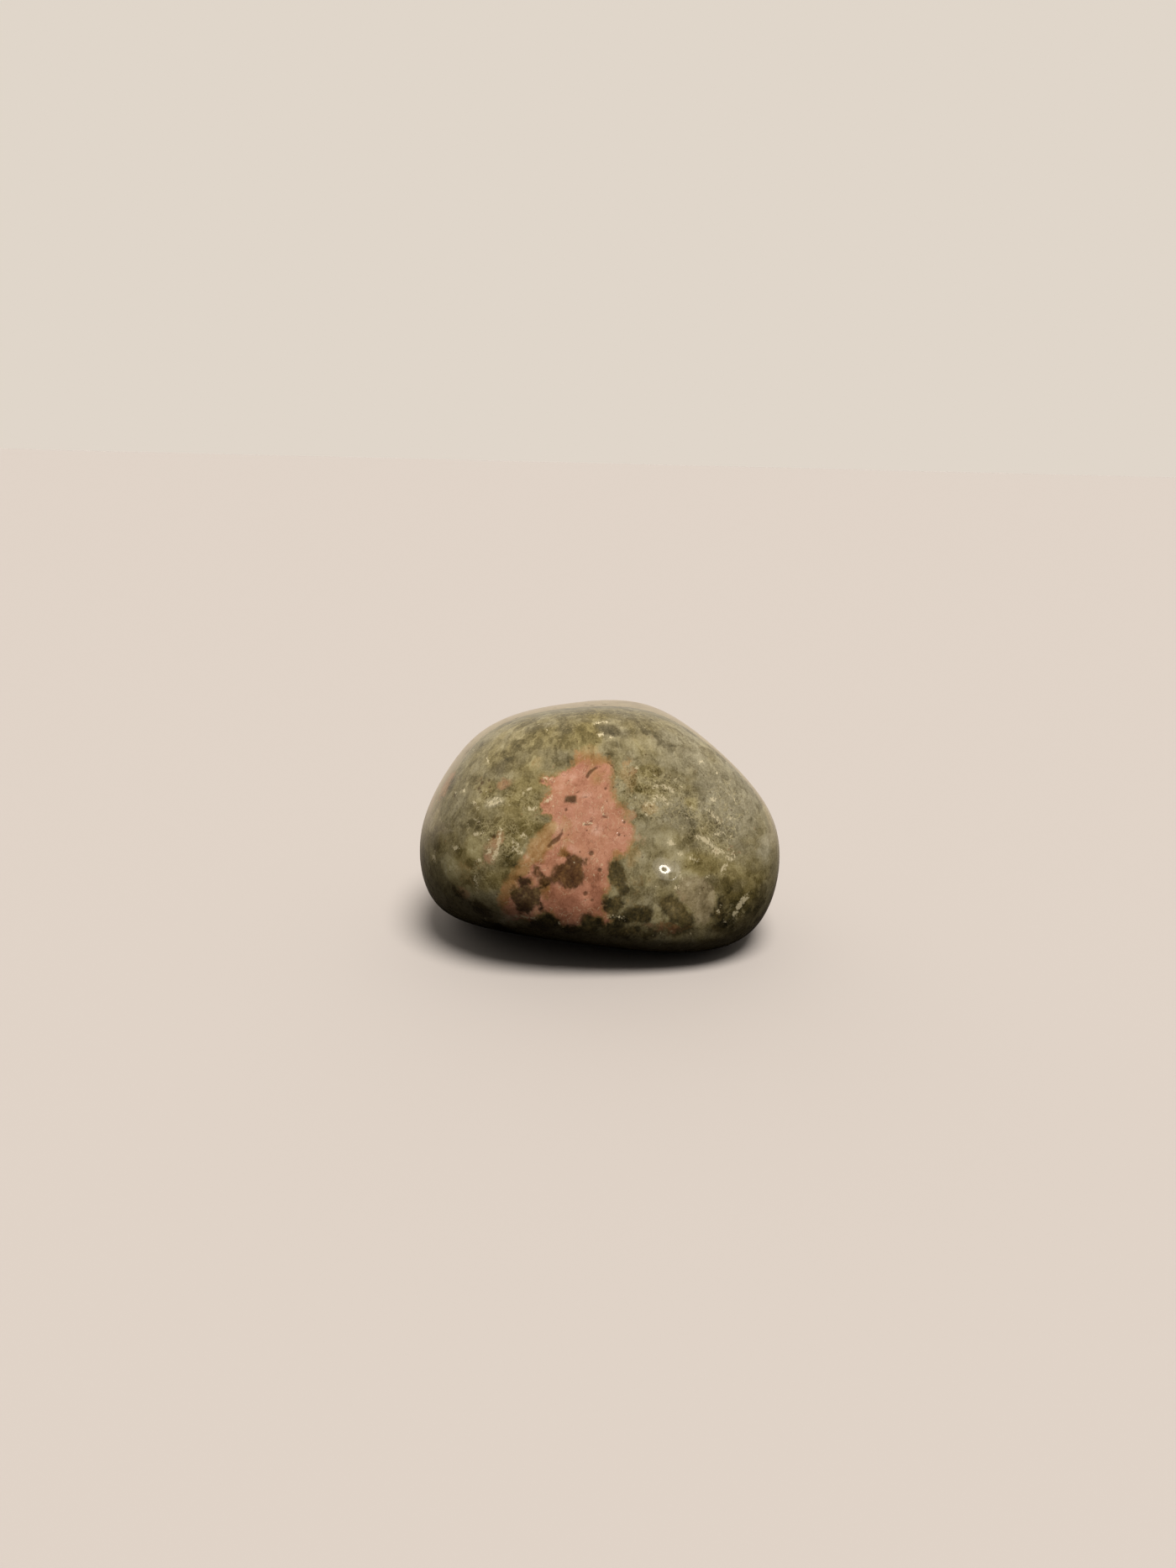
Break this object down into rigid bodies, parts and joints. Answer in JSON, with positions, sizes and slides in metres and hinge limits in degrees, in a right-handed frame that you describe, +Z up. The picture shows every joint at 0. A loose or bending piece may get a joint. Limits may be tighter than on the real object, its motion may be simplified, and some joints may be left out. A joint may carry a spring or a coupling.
{
  "type": "tumbled unakite pebble",
  "caption": "Tumbled and polished unakite pebble, green with a pink patch, rounded from a broken piece and resting on a small flat spot.",
  "frame": {"origin": "on the surface that the pebble rests on, under the middle of its length and depth", "axes": "+X along the pebble's length to its right end, -Y towards its front, +Z up"},
  "size_m": [0.0316, 0.0272, 0.021],
  "materials": {
    "polished_unakite": "tumbled to a polish, olive green epidote with salmon pink feldspar"
  },
  "bodies": {
    "root": {"unakite_pebble": "polished_unakite"}
  },
  "joints": []
}
